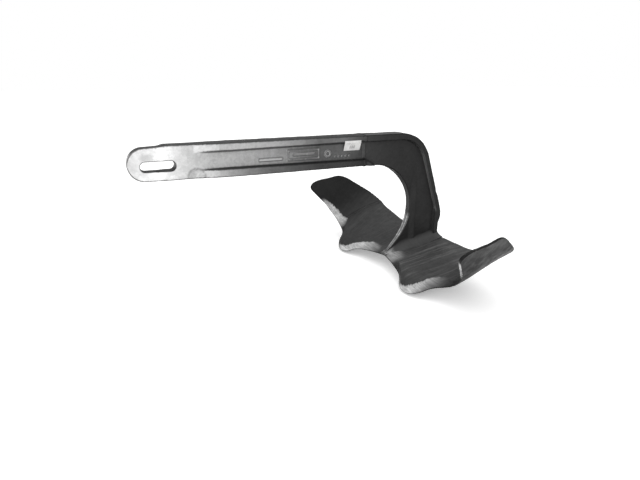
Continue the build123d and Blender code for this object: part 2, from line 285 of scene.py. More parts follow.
def build_arm():
    stations = [EYE_TIP + 0.02 + EYE_R * (1 - cos(radians(90 * k / 22))) for k in range(23)]
    stations += list(np.arange(48.0, 686.0, 2.5)) + [686.0, 687.0, 688.5, 690.0, ARM_END]
    rows = [p for x in stations for p in arm_loop(x)]
    count = len(rows) // len(stations)
    bar = new_object("arm_bar", rows, loops_to_faces(len(stations), count), flat=True)
    cutter = slot_cutter(SLOT_START, SLOT_END, SLOT_WIDTH, SLOT_Z)
    cut = bar.modifiers.new("slot", "BOOLEAN")
    cut.operation = "DIFFERENCE"
    cut.object = cutter
    graph = bpy.context.evaluated_depsgraph_get()
    mesh = bpy.data.meshes.new_from_object(bar.evaluated_get(graph))
    bpy.data.objects.remove(bar)
    bpy.data.objects.remove(cutter)
    arm = remeshed("shank_arm_casting", [mesh], 1.7, 3)
    points, normals = points_of(arm), normals_of(arm)
    rise = raise_pads(points, normals)
    set_points(arm, points + normals * rise[:, None])
    cast_skin(arm, 11, fine=0.10, broad=0.3)
    shape_marks(arm)
    points = points_of(arm)
    x, z = points[:, 0], points[:, 2]
    reach = np.hypot(x - 177, z + 43)
    gate = smooth((29 - reach) / 6) * (0.55 + 0.45 * smooth((reach - 17) / 8))
    gate *= smooth((x - 147) / 6) * (0.75 + 0.25 * waves(points, 9, 5))
    # painted shade: the shackle slot's walls and mouth are darkened, carried in the same mark as the
    # stains
    along = np.clip(x, SLOT_START + SLOT_WIDTH / 2, SLOT_END - SLOT_WIDTH / 2)
    inner = smooth((15.2 - np.hypot(x - along, z - SLOT_Z)) / 1.2)
    inner *= 0.45 + 0.55 * smooth((x - 60) / 25)
    smudge = 0.35 * smooth((14 - np.hypot((x - 52) / 1.6, z - 16)) / 9)
    mark(arm, "stain_and_shade", np.clip(gate * 0.7 + inner * 1.5 + smudge, 0, 1.6))
    mark(arm, "bare_and_highlight", np.zeros(len(points)))
    # painted highlight: the raised marks are lightened
    mark(arm, "painted_highlight", smooth((rise - 0.5) / 0.9))
    return arm


def build_arm_weld():
    """Butt weld round the arm's section, a low bead with fine ripples."""
    steps = 26
    loop = np.array(arm_loop(ARM_END))[:, 1:]
    along = np.roll(loop, -1, 0) - np.roll(loop, 1, 0)
    out = np.stack([along[:, 1], -along[:, 0]], 1)
    out /= np.linalg.norm(out, axis=1)[:, None]
    if ((loop * out).sum(1)).mean() < 0:
        out = -out
    lengths = np.cumsum(np.linalg.norm(loop - np.roll(loop, 1, 0), axis=1))
    rows = []
    for k in range(steps + 1):
        share = k / steps
        x = weld_start + (weld_end - weld_start) * share
        swell = -0.9 + 1.9 * sin(pi * share) ** 0.6 + 0.45 * cos(6 * pi * share)
        ripple = 0.3 * np.sin(2 * pi * (lengths / 5.5 + 1.2 * (share - 0.5) ** 2)) * sin(pi * share)
        moved = loop + out * (swell + ripple)[:, None]
        rows += [(x, y, z) for y, z in moved]
    bead = new_object("arm_weld_bead", rows, loops_to_faces(steps + 1, len(loop)))
    shape_marks(bead)
    for name in ("stain_and_shade", "bare_and_highlight", "painted_highlight"):
        mark(bead, name, np.zeros(len(bead.data.vertices)))
    return bead


# ---- fluke ------------------------------------------------------------------------------
REAR_X, REAR_Z, RAKE, PLATE = 1000.0, -317.5, 0.255, 11.0
TWIST_FRONT, TWIST_REAR = 797, 935      # the front bends give way to the rear ones
DROOP_X, DROOP = 810, 0.0052            # the toes bend down ahead of this line
FRONT_BENDS = [(265.0, 178.0, 59.0)]
REAR_BENDS = [(183.0, 150.0, 12.0), (301.0, 198.0, 68.0)]


def curl(y, bends):
    """Rise of the fluke at half-width y, through arcs of (start, radius, final slope)."""
    y = np.asarray(y, float)
    rise = np.zeros_like(y)
    slope, place_y, base = 0.0, 0.0, 0.0
    for start, radius, angle in bends:
        base += (start - place_y) * tan(slope)
        end = start + radius * (sin(radians(angle)) - sin(slope))
        inside = np.clip(y, start, end)
        sine = sin(slope) + (inside - start) / radius
        bent = base + radius * (cos(slope) - np.sqrt(1 - sine * sine))
        rise = np.where(y > start, bent, rise)
        base += radius * (cos(slope) - cos(radians(angle)))
        slope, place_y = radians(angle), end
        rise = np.where(y > end, base + (y - end) * tan(slope), rise)
    return rise


def fluke_height(x, y):
    y = np.abs(y)
    twist = smooth((x - TWIST_FRONT) / (TWIST_REAR - TWIST_FRONT))
    rise = (1 - twist) * curl(y, FRONT_BENDS) + twist * curl(y, REAR_BENDS)
    ahead = np.maximum(0.0, DROOP_X - x)
    return REAR_Z - RAKE * (REAR_X - x) + rise - DROOP * ahead ** 2 * smooth((400 - y) / 120)


def natural_spline(places, values):
    """Smooth curve through points, as a function."""
    places, values = np.asarray(places, float), np.asarray(values, float)
    n = len(places)
    gap = np.diff(places)
    matrix, right = np.eye(n), np.zeros(n)
    for k in range(1, n - 1):
        matrix[k, k - 1:k + 2] = gap[k - 1], 2 * (gap[k - 1] + gap[k]), gap[k]
        right[k] = 6 * ((values[k + 1] - values[k]) / gap[k]
                        - (values[k] - values[k - 1]) / gap[k - 1])
    bend = np.linalg.solve(matrix, right)

    def curve(at):
        at = np.asarray(at, float)
        k = np.clip(np.searchsorted(places, at) - 1, 0, n - 2)
        h = gap[k]
        a, b = (places[k + 1] - at) / h, (at - places[k]) / h
        return (a * values[k] + b * values[k + 1]
                + ((a ** 3 - a) * bend[k] + (b ** 3 - b) * bend[k + 1]) * h * h / 6)
    return curve


# plan of half the fluke as half-width and x: along the leading edge from the centre notch
# over the toe to the wing's tip, and back along the wing's upper edge to the rear edge
OUTLINE = [(0, 801), (55, 791), (102, 780), (146, 766), (172, 749), (196, 741), (222, 740),
           (243, 745), (269, 760), (286, 779), (310, 794), (346, 800), (380, 797), (406, 786),
           (424, 772), (437, 757), (449, 743), (459, 732), (467.5, 726), (474, 733),
           (477, 755), (476, 790), (469.5, 838), (463, 862), (453, 887), (442, 912),
           (427.5, 941), (407, 969), (380, 989), (348, 1000)]


def drawn_outline():
    """Smooth curve through the outline's points, split at the wing's highest point."""
    points = np.array(OUTLINE, float)
    gaps = np.linalg.norm(np.diff(points, axis=0), axis=1)
    place_on = np.concatenate([[0], np.cumsum(np.sqrt(gaps))])
    dense = np.linspace(0, place_on[-1], 6000)
    y = natural_spline(place_on, points[:, 0])(dense)
    x = natural_spline(place_on, points[:, 1])(dense)
    peak = int(np.argmax(y))
    return (y[:peak + 1], x[:peak + 1]), (y[peak:][::-1], x[peak:][::-1])


(lead_y, lead_at), (trail_y, trail_at) = drawn_outline()
TOP_Y = float(lead_y[-1]) - 0.02


def lead_x(y):
    return np.interp(np.abs(y), lead_y, lead_at)


def trail_x(y):
    return np.minimum(REAR_X, np.interp(np.abs(y), trail_y, trail_at, left=REAR_X))


def border(side, curve):
    y = np.concatenate([np.arange(0, 440, 2.0), np.arange(440, 470, 0.5),
                        TOP_Y - (TOP_Y - 470) * np.linspace(1, 0, 60) ** 2]) * side
    x = curve(y)
    return np.stack([x, y, fluke_height(x, y)], 1)


def distance_to(points, line):
    out = np.empty(len(points))
    for start in range(0, len(points), 4000):
        part = points[start:start + 4000]
        gap = ((part[:, None, :] - line[None, :, :]) ** 2).sum(2)
        out[start:start + 4000] = np.sqrt(gap.min(1))
    return out


# the hand-ground bevel along the leading edge: half-width, width there and brightness
# the brightness column sets bare steel with a painted highlight on it
BEVEL_STARBOARD = [(0, 9, 0), (35, 22, 0.08), (60, 34, 0.3), (100, 42, 0.7), (128, 34, 0.9),
                   (150, 26, 1), (180, 24, 1), (212, 20, 1), (232, 12, 0.6), (250, 7, 0),
                   (318, 12, 0), (334, 28, 0.35), (347, 37, 0.75), (365, 28, 1), (391, 26, 1),
                   (412, 20, 1), (426, 13, 0.8), (436, 6, 0), (480, 4, 0)]
BEVEL_PORT = [(0, 9, 0), (27, 13, 0), (70, 18, 0), (108, 16, 0), (150, 8, 0), (180, 8, 0.5),
              (195, 10, 1), (215, 20, 1), (235, 31, 1), (252, 40, 0.8), (270, 44, 0.4),
              (300, 40, 0.1), (330, 24, 0), (410, 8, 0), (420, 8, 0.9), (456, 8, 1), (464, 5, 0),
              (480, 4, 0)]


def bevel_of(points):
    """Width and brightness of the bevel nearest to each point; the brightness is bare steel with a
    painted highlight on it.
    """
    side = np.abs(points[:, 1])
    starboard, port = np.array(BEVEL_STARBOARD).T, np.array(BEVEL_PORT).T
    both = []
    for row in (1, 2):
        both.append(np.where(points[:, 1] > 0, np.interp(side, starboard[0], starboard[row]),
                             np.interp(side, port[0], port[row])))
    width, bright = both
    width = width * (1 + 0.10 * waves(points, 22, 31)) + 0.9 * waves(points, 8, 32)
    return width, bright


def fan(points):
    """Grinding and rolling lines spread slightly towards the rear."""
    spread = points[:, 1] / (1 + 0.0015 * (points[:, 0] - 770))
    return np.stack([points[:, 0] * 0.05, spread, points[:, 2] * 0.2], 1)


# distances from an edge where the plates have extra points; the rear edge has the first 11
EDGE_STEPS = [0, 0.35, 1.0, 2.0, 3.3, 5, 7, 9.5, 12.5, 16, 20, 24, 28, 32, 36, 40, 45]


# casting bumps on the upper face: x, y, size and height
BUMPS = ((853, -86, 7, 1.8), (883, -133, 6, 1.4), (960, -153, 12, 2.2), (905, 118, 7, 1.3),
         (930, -60, 5, 1.0))


def fluke_piece(name, rows, proud=0.0, columns=46):
    """Closed shell of the fluke over the given rows of y, between its two surfaces."""
    shares = []
    for y in rows:
        front, back = float(lead_x(y)), float(trail_x(y))
        length = back - front
        fit = min(1.0, length / 150)
        ahead = [front + s * fit for s in EDGE_STEPS]
        behind = [back - s * fit for s in EDGE_STEPS[:11]]
        middle = np.linspace(ahead[-1], behind[-1], columns + 2)[1:-1]
        shares.append(np.concatenate([ahead, middle, behind[::-1]]))
    x = np.array(shares)
    y = np.repeat(np.array(rows, float)[:, None], x.shape[1], 1)
    z = fluke_height(x, y)
    step = 0.05
    slope_x = (fluke_height(x + step, y) - fluke_height(x - step, y)) / (2 * step)
    slope_y = (fluke_height(x, y + step) - fluke_height(x, y - step)) / (2 * step)
    lean = np.sqrt(1 + slope_x ** 2 + slope_y ** 2)
    normal = np.stack([-slope_x / lean, -slope_y / lean, 1 / lean], -1).reshape(-1, 3)
    flat = np.stack([x, y, z], -1).reshape(-1, 3)
    from_front, from_back = np.full(len(flat), 1e9), np.full(len(flat), 1e9)
    for side in (-1, 1):
        if side * max(rows, key=lambda v: side * v) > 0:
            from_front = np.minimum(from_front, distance_to(flat, border(side, lead_x)))
            from_back = np.minimum(from_back, distance_to(flat, border(side, trail_x)))
    half = PLATE / 2
    thin = 0.62 + 0.38 * smooth(from_back / 70)
    swept = half * thin
    width, bright = bevel_of(flat)
    lip = 2.6 + 6.8 * smooth((np.abs(flat[:, 1]) - 405) / 20)
    ramp = -half + lip + (swept + half - lip) * np.clip(from_front / np.maximum(width, 3), 0, 1)
    grain = 0.35 * waves(fan(flat), 13, 41) + 0.25 * waves(fan(flat), 6, 42)
    grain += 0.35 * waves(flat, 60, 43)
    coat = smooth((from_front - width) / 3)
    bumps = np.zeros(len(flat))
    for bx, by, size, rise in BUMPS:
        bumps += rise * np.exp(-((flat[:, 0] - bx) ** 2 + (flat[:, 1] - by) ** 2) / size ** 2)
    top = np.minimum(swept, ramp) + grain * coat + bumps * coat + proud
    under = -swept - 0.3 * waves(flat, 50, 44) - 0.12 * waves(flat, 12, 45) - proud
    round_back = np.sqrt(np.clip(1 - (1 - np.clip(from_back / 3.4, 0, 1)) ** 2, 0, 1))
    middle_lip = -half + lip / 2
    round_front = np.sqrt(np.clip(1 - (1 - np.clip(from_front / 1.4, 0, 1)) ** 2, 0, 1))
    top = (middle_lip + (top - middle_lip) * round_front)
    under = (middle_lip + (under - middle_lip) * round_front)
    top, under = top * round_back, under * round_back
    upper = (flat + normal * top[:, None]).reshape(x.shape + (3,))
    lower = (flat + normal * under[:, None]).reshape(x.shape + (3,))
    # the bevels' mark: bare steel, lightened further as painted highlight
    soft = 1.2 + 14 * (1 - bright)
    bevel = smooth((width - from_front) / soft + 0.5) * bright
    # painted highlight on the plate just ahead of the neck's foot, port side only
    foot = np.hypot((flat[:, 0] - 812) / 0.7, flat[:, 1] + 34)
    bevel += 0.55 * smooth((62 - foot) / 45) * (flat[:, 1] < 0)
    # painted highlight along the front edge of the wings' underside, where the plate's thickness shows
    outside = np.abs(flat[:, 1]) > 410
    front = (bright * smooth((2.2 - from_front) / 1.5) * outside).reshape(x.shape)
    # painted shade: the plate is darker along its front and rear edges
    rim = smooth((3.4 - np.minimum(from_front + 1.2 * bright, from_back)) / 2.4)
    rim *= 1 - bright * outside * (from_back > 8)
    across = x.shape[1]
    points, marks, rims = [], [], []
    bevel, rim = np.clip(bevel, 0, 1).reshape(x.shape), rim.reshape(x.shape)
    for r in range(len(rows)):
        points.extend(upper[r])
        points.extend(lower[r][::-1])
        marks.extend(bevel[r])
        marks.extend(front[r][::-1])
        rims.extend(rim[r])
        rims.extend(rim[r][::-1])
    count = 2 * across
    faces = loops_to_faces(len(rows), count, capped=False)
    for start in (0, (len(rows) - 1) * count):
        for k in range(across - 1):
            faces.append((start + k, start + k + 1, start + count - 2 - k, start + count - 1 - k))
    piece = new_object(name, points, faces)
    found = [tuple(np.round(p, 1)) for p in points_of(piece)]
    for label, values in (("bare_and_highlight", marks), ("edge_shade", rims)):
        keys = {tuple(np.round(p, 1)): m for p, m in zip(points, values)}
        mark(piece, label, [keys.get(key, 0.0) for key in found])
    for label in ("stain_and_shade", "crease_shade", "painted_highlight"):
        mark(piece, label, np.zeros(len(found)))
    return piece


SEAM_IN, SEAM_OUT = 345.0, 353.0


def build_fluke():
    pieces = {"fluke_center_plate": fluke_piece("fluke_center_plate",
                                                list(np.arange(-SEAM_IN, SEAM_IN + 1, 3.0)))}
    turns = np.sin(np.linspace(0, pi / 2, 56))
    for name, side in (("port", -1), ("starboard", 1)):
        rows = [side * (SEAM_OUT + (TOP_Y - SEAM_OUT) * t) for t in turns]
        pieces["wing_" + name] = fluke_piece("fluke_wing_" + name + "_plate", rows)
        rows = [side * y for y in np.linspace(SEAM_IN, SEAM_OUT, 9)]
        pieces["seam_" + name] = fluke_piece("wing_seam_" + name, rows, proud=0.3)
    return pieces


# ---- neck and foot ----------------------------------------------------------------------
NOTCH_X = 801
FOOT_STEP_X = 893           # the neck's foot thickens from here to its full width
BEND_X, BEND_Z = 832, -68   # centre of the neck's bend
BEND_RADIUS, RIM_INSIDE = 115, 95       # outer face and inner border of the rim
BACK_LEAN = radians(18.7)


def fluke_top(x):
    """Height of the fluke's upper face on the middle line."""
    slope = RAKE + 2 * DROOP * max(0.0, DROOP_X - x)
    return float(fluke_height(np.array(x, float), np.array(0.0))) + PLATE / 2 * sqrt(1 + slope ** 2)


def foot_half(x):
    """Half-thickness of the neck's foot."""
    if x < FOOT_STEP_X:
        return 6 + 6 * max(0.0, x - NOTCH_X) / (FOOT_STEP_X - NOTCH_X)
    return min(19.0, 12 + 7 * (x - FOOT_STEP_X) / 20)


def neck_root():
    """Stub that carries the neck down into the fluke."""
    rows = []
    stations = list(np.linspace(804, 997, 40))
    for x in stations:
        half, top = foot_half(x) - 0.4, fluke_top(x)
        rows += [(x, -half, top - 7), (x, half, top - 7), (x, half, top + 3), (x, -half, top + 3)]
    stub = new_object("neck_root", rows, loops_to_faces(len(stations), 4), flat=True)
    mesh = stub.data
    bpy.data.objects.remove(stub)
    return mesh


def front_edge_x(points):
    """Front edge of the neck and ridge near the middle plane, at each point's height."""
    near = np.abs(points[:, 1]) < 9
    level = np.clip(((points[:, 2] + 380) / 4).astype(int), 0, 120)
    edge = np.full(121, 1e9)
    np.minimum.at(edge, level[near], points[near, 0])
    known = edge < 1e8
    return np.interp(points[:, 2], (np.arange(121) * 4 - 378)[known], edge[known])


def rim_distance(x, z):
    """Distance inwards from the inner border of the rim along the neck's back."""
    across, up = x - BEND_X, z - BEND_Z
    angle = np.arctan2(up, across)
    straight = across * cos(BACK_LEAN) + up * sin(BACK_LEAN) - RIM_INSIDE
    bend = np.hypot(across, up) - RIM_INSIDE
    upper = up - RIM_INSIDE
    return np.where(across < 0, upper, np.where(angle > BACK_LEAN, bend, straight))


def build_neck():
    neck = remeshed("shank_neck_casting", [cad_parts["shank_neck"].data, neck_root()], 1.9, 5)
    points = points_of(neck)
    x, z = points[:, 0], points[:, 2]
    normals = normals_of(neck)
    back = BEND_X + BEND_RADIUS * cos(BACK_LEAN) + (-31 - z) * 0.339
    near_back = smooth((x - back + 30) / 20)
    dent = 4.5 * np.exp(-((z + 156) / 6) ** 2) * near_back * smooth(normals[:, 0])
    set_points(neck, points - normals * dent[:, None])
    cast_skin(neck, 21, fine=0.14, broad=0.5)
    shape_marks(neck)
    points = points_of(neck)
    x, y, z = points.T
    # painted highlight: a light line down the lower front edge of the neck
    behind = x - front_edge_x(points)
    ridge = smooth((5.0 - behind) / 4) * smooth((-222 - z) / 26)
    ridge *= 0.25 + 0.75 * smooth((np.abs(y) - 1) / 4)
    # painted highlight: a light line along the inner border of the back rim
    inner = rim_distance(x, z)
    line = smooth((3.4 - np.abs(inner - 0.5)) / 2.2) * smooth((np.abs(y) - 22) / 5)
    line *= smooth((20 - z) / 60) * smooth((z + 232) / 20)
    mark(neck, "bare_and_highlight", np.clip(ridge * (0.75 + 0.25 * waves(points, 16, 61)), 0, 1))
    mark(neck, "painted_highlight", line * 0.35)
    mark(neck, "stain_and_shade", np.zeros(len(points)))
    return neck


FOOT_RISE, FOOT_SPREAD = 33.0, 44.0


def build_foot(name, side):
    """Concave fillet weld along one side of the neck's foot."""
    stations = np.concatenate([np.linspace(797, 830, 24), np.linspace(832, 999.5, 84)])
    arc = 22
    rows = []
    for x in stations:
        grow = float(smooth((x - 790) / 75))
        rise = 4 + (FOOT_RISE - 4) * grow
        spread = 9 + (FOOT_SPREAD - 9) * float(smooth((x - 792) / 90))
        base, half = fluke_top(x), foot_half(x) - 1.2
        ripple = 0.25 * sin(x / 2.1) * float(smooth((x - 830) / 30))
        loop = []
        for k in range(arc + 1):
            angle = pi / 2 * k / arc
            push = ripple * sin(2 * angle)
            y = half + spread * (1 - sin(angle)) - push * sin(angle)
            z = base - 0.5 + rise * (1 - cos(angle)) + push * cos(angle)
            loop.append((x, side * y, z))
        loop.append((x, side * 1.0, base + rise * 0.9))
        loop.append((x, side * 1.0, base - 6))
        loop.append((x, side * (half + spread * 0.8), base - 6))
        rows += loop
    count = len(rows) // len(stations)
    piece = new_object(name, rows, loops_to_faces(len(stations), count))
    points = points_of(piece)
    shape_marks(piece)
    x, y, z = points.T
    # painted highlight on the low front of the fillet
    low = smooth((fluke_height(x, y) + 26 - z) / 14)
    flare_highlight = smooth((838 - x) / 30) * (0.45 + 0.35 * waves(points, 14, 71)) * low
    mark(piece, "bare_and_highlight", np.clip(flare_highlight, 0, 1))
    mark(piece, "painted_highlight", np.zeros(len(points)))
    mark(piece, "stain_and_shade", np.zeros(len(points)))
    return piece


# ---- label ------------------------------------------------------------------------------
def build_label():
    """Paper label leaning from the web over the edge of the upper rim, one corner curling."""
    low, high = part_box("price_label")
    x0, x1 = 1000 * low.x - SHIFT[0], 1000 * high.x - SHIFT[0]
    across, up = 40, 26
    web, rim = -(WEB + 0.5), -(FLANGE + 0.7)
    front, back = [], []
    for i in range(up + 1):
        share = i / up
        z = 2 + 31 * share
        y = web + (rim - web) * min(1.0, (z - 2) / 25)
        for j in range(across + 1):
            s = j / across
            x = x0 + (x1 - x0) * s
            lift = 1.1 * float(smooth((0.16 - s) / 0.16) * smooth((0.3 - share) / 0.3))
            wave = 0.15 * sin(9 * s + 4 * share)
            front.append((x, y - 0.22 - lift + wave, z))
            back.append((x, y + 0.02 - lift + wave, z))
    n = across + 1
    total = len(front)
    faces = []
    for i in range(up):
        for j in range(across):
            a = i * n + j
            faces.append((a, a + 1, a + n + 1, a + n))
            faces.append((total + a, total + a + n, total + a + n + 1, total + a + 1))
    rim_line = [j for j in range(n)] + [i * n + across for i in range(1, up + 1)]
    rim_line += [up * n + j for j in range(across - 1, -1, -1)] + [i * n for i in range(up - 1, 0, -1)]
    for k, a in enumerate(rim_line):
        b = rim_line[(k + 1) % len(rim_line)]
        faces.append((a, total + a, total + b, b))
    return new_object("price_label_paper", front + back, faces)


# ---- materials --------------------------------------------------------------------------
class Nodes:
    """Short way to write a material's node tree."""

    def __init__(self, name):
        self.material = bpy.data.materials.new(name)
        self.material.use_nodes = True
        self.tree = self.material.node_tree
        self.shader = self.tree.nodes["Principled BSDF"]

    def add(self, kind, **values):
        node = self.tree.nodes.new(kind)
        for key, value in values.items():
            setattr(node, key, value)
        return node

    def wire(self, source, target):
        self.tree.links.new(source, target)

    def fill(self, socket, value):
        if isinstance(value, (int, float, tuple)):
            socket.default_value = value
        else:
            self.wire(value, socket)

    def math(self, operation, a, b=0.0, clamp=False):
        node = self.add("ShaderNodeMath", operation=operation, use_clamp=clamp)
        self.fill(node.inputs[0], a)
        self.fill(node.inputs[1], b)
        return node.outputs[0]

    def between(self, value, low, high, out_low=0.0, out_high=1.0):
        node = self.add("ShaderNodeMapRange", interpolation_type="SMOOTHSTEP")
        for socket, item in zip(node.inputs, (value, low, high, out_low, out_high)):
            self.fill(socket, item)
        return node.outputs[0]

    def mix(self, share, a, b, blend="MIX"):
        node = self.add("ShaderNodeMix", data_type="RGBA", blend_type=blend)
        self.fill(node.inputs[0], share)
        self.fill(node.inputs[6], a)
        self.fill(node.inputs[7], b)
        return node.outputs[2]

    def share_of(self, value, low, high):
        node = self.add("ShaderNodeMapRange")
        for socket, item in zip(node.inputs, (value, low, high, 0.0, 1.0)):
            self.fill(socket, item)
        return node.outputs[0]

    def ramp(self, value, stops):
        """Grey by the value, through stops of (value, grey)."""
        low, high = stops[0][0], stops[-1][0]
        node = self.add("ShaderNodeValToRGB")
        self.wire(self.share_of(value, low, high), node.inputs[0])
        elements = node.color_ramp.elements
        for index, (at, tone) in enumerate(stops):
            spot = (at - low) / (high - low)
            if index == 0:
                element = elements[0]
            elif index == len(stops) - 1:
                element = elements[len(elements) - 1]
            else:
                element = elements.new(spot)
            element.position = spot
            element.color = grey(tone)
        return node.outputs[0]

    def coords(self, scale=(1, 1, 1)):
        source = self.add("ShaderNodeTexCoord").outputs["Object"]
        mapping = self.add("ShaderNodeMapping")
        mapping.inputs["Scale"].default_value = scale
        self.wire(source, mapping.inputs[0])
        return mapping.outputs[0]

    def position(self):
        parts = self.add("ShaderNodeSeparateXYZ")
        self.wire(self.coords(), parts.inputs[0])
        return parts.outputs

    def noise(self, scale, stretch=(1, 1, 1), detail=6.0, rough=0.6, twist=0.0):
        node = self.add("ShaderNodeTexNoise")
        self.wire(self.coords(stretch), node.inputs["Vector"])
        node.inputs["Scale"].default_value = scale
        node.inputs["Detail"].default_value = detail
        node.inputs["Roughness"].default_value = rough
        node.inputs["Distortion"].default_value = twist
        return node.outputs["Fac"]

    def attribute(self, name):
        return self.add("ShaderNodeAttribute", attribute_name=name).outputs["Fac"]

    def bump(self, height, strength, distance, before=None):
        node = self.add("ShaderNodeBump")
        node.inputs["Strength"].default_value = strength
        node.inputs["Distance"].default_value = distance
        self.wire(height, node.inputs["Height"])
        if before is not None:
            self.wire(before, node.inputs["Normal"])
        return node.outputs[0]


def grey(value, warm=0.0):
    return (value * (1 + warm), value, value * (1 - warm), 1.0)


class Metal(Nodes):
    """Cast and plate steel, from zinc grey to charcoal, with stains, flakes, scuffed bare bevels, and
    painted light and shade.
    """

    def darken(self, colour, share, strength, tone):
        return self.mix(self.math("MULTIPLY", share, strength, clamp=True), colour, grey(tone),
                        "MULTIPLY")

    def skin(self, colour, mottle):
        cloud = self.between(self.noise(9, detail=5, twist=0.6), 0.35, 0.68)
        colour = self.darken(colour, cloud, mottle, 0.55)
        blotch = self.between(self.noise(70, detail=8, rough=0.7), 0.40, 0.62)
        colour = self.darken(colour, blotch, 0.8 * mottle, 0.6)
        flakes = self.add("ShaderNodeTexVoronoi", feature="F1")
        self.wire(self.coords(), flakes.inputs["Vector"])
        flakes.inputs["Scale"].default_value = 150
        spangle = self.add("ShaderNodeSeparateColor")
        self.wire(flakes.outputs["Color"], spangle.inputs[0])
        colour = self.darken(colour, spangle.outputs[0], 0.16, 0.2)
        specks = self.between(self.noise(420, detail=4), 0.60, 0.72)
        return self.darken(colour, specks, 0.4, 0.35)

    def lines(self, colour, strength):
        """Light fore-and-aft lines that spread towards the rear."""
        x, y, z = self.position()
        ahead = self.math("ADD", self.math("MULTIPLY", x, 1.5), 0.603)
        spread = self.add("ShaderNodeCombineXYZ")
        self.wire(self.math("MULTIPLY", x, 0.05), spread.inputs[0])
        self.wire(self.math("DIVIDE", y, ahead), spread.inputs[1])
        self.wire(self.math("MULTIPLY", z, 0.1), spread.inputs[2])
        for scale, low, high, share in ((70, 0.50, 0.72, strength), (190, 0.52, 0.7, 0.7 * strength)):
            noise = self.add("ShaderNodeTexNoise")
            self.wire(spread.outputs[0], noise.inputs["Vector"])
            noise.inputs["Scale"].default_value = scale
            noise.inputs["Detail"].default_value = 5
            noise.inputs["Roughness"].default_value = 0.6
            patch = self.between(self.noise(11), 0.35, 0.6, 0.25, 1.0)
            line = self.math("MULTIPLY", self.between(noise.outputs["Fac"], low, high), patch)
            colour = self.mix(self.math("MULTIPLY", line, share), colour, grey(0.17))
        return colour

    def wear_and_painted_light(self, colour, edge_shade):
        """Stains, painted shade in the shackle slot, on rounded arrises and in creases, painted
        highlights on raised marks and edge lines, and bare bevels with painted highlight.
        """
        # stains, with painted shade in the shackle slot
        colour = self.darken(colour, self.attribute("stain_and_shade"), 0.9, 0.12)
        # painted shade in creases
        colour = self.darken(colour, self.attribute("crease_shade"), 0.75, 0.25)
        # painted highlight
        colour = self.mix(self.math("MULTIPLY", self.attribute("painted_highlight"), 0.6), colour, grey(0.42))
        scratch = self.noise(240, stretch=(1, 0.05, 0.7), detail=5, rough=0.7)
        bare = self.mix(self.between(scratch, 0.30, 0.70), grey(0.30), grey(0.58))
        bare = self.darken(bare, self.between(self.noise(34, detail=4), 0.35, 0.65), 0.5, 0.6)
        # bare steel with painted highlight
        colour = self.mix(self.attribute("bare_and_highlight"), colour, bare)
        # painted shade on rounded arrises
        return self.darken(colour, self.attribute("edge_shade"), edge_shade, 0.12)

    def finish(self, colour, roughness, specular, metallic):
        self.wire(colour, self.shader.inputs["Base Color"])
        gloss = self.between(self.noise(45, detail=5), 0.3, 0.7, roughness - 0.08, roughness + 0.1)
        self.wire(gloss, self.shader.inputs["Roughness"])
        self.shader.inputs["Metallic"].default_value = metallic
        self.shader.inputs["Specular IOR Level"].default_value = specular
        relief = self.bump(self.noise(55, detail=7, rough=0.65), 0.35, 0.0012)
        relief = self.bump(self.noise(520, detail=4), 0.30, 0.0003, relief)
        self.wire(relief, self.shader.inputs["Normal"])
        return self.material

    def normal_parts(self):
        parts = self.add("ShaderNodeSeparateXYZ")
        self.wire(self.add("ShaderNodeNewGeometry").outputs["Normal"], parts.inputs[0])
        return parts.outputs

    def along(self, stops):
        return self.ramp(self.position()[0], stops)


def arm_metal():
    n = Metal("galvanised_casting")
    along, _, height = n.position()
    colour = n.skin(n.along(ARM_TONES), 0.34)
    # painted light on the sides where the flanges grow: the lower band darker as painted shade, the
    # upper band lighter as painted highlight
    grown = n.between(along, -0.32, -0.10)
    middle = float(SHIFT[2]) / 1000
    lower = n.between(height, middle - 0.0245, middle - 0.029)
    colour = n.darken(colour, n.math("MULTIPLY", lower, grown), 0.75, 0.15)
    upper = n.between(height, middle + 0.024, middle + 0.029)
    colour = n.mix(n.math("MULTIPLY", upper, n.math("MULTIPLY", grown, 0.35)), colour,
                   grey(1.9), "MULTIPLY")
    ahead, _, up = n.normal_parts()
    # painted highlight where the flanges' ramps turn forward, towards the key lamp
    flare_highlight = n.math("MULTIPLY", n.between(ahead, -0.03, -0.14), n.between(along, -0.34, -0.325))
    colour = n.mix(n.math("MULTIPLY", flare_highlight, 0.6), colour, grey(1.5), "MULTIPLY")
    # painted shade: upward faces take the darker TOP_TONES
    upper_face_shade = n.skin(n.along(TOP_TONES), 0.3)
    colour = n.mix(n.between(up, 0.40, 0.80), colour, upper_face_shade)
    # painted shade on downward faces
    colour = n.darken(colour, n.between(up, -0.2, -0.8), 0.8, 0.12)
    return n.finish(n.wear_and_painted_light(colour, 0.85), 0.46, 0.35, 0.25)


def body_metal():
    n = Metal("charcoal_casting")
    # greys along x, darker towards the rear: painted light falloff
    colour = n.skin(n.along([(0.19, 0.042), (0.26, 0.030), (0.33, 0.023), (0.50, 0.020)]), 0.3)
    ahead, _, up = n.normal_parts()
    # painted light: faces turned forward, towards the key lamp, lighter
    colour = n.mix(n.between(ahead, -0.10, -0.60), colour, grey(0.034))
    # painted light: upward faces lighter
    colour = n.mix(n.between(up, 0.25, 0.95), colour, grey(0.055))
    return n.finish(n.wear_and_painted_light(colour, 0.7), 0.42, 0.12, 0.0)


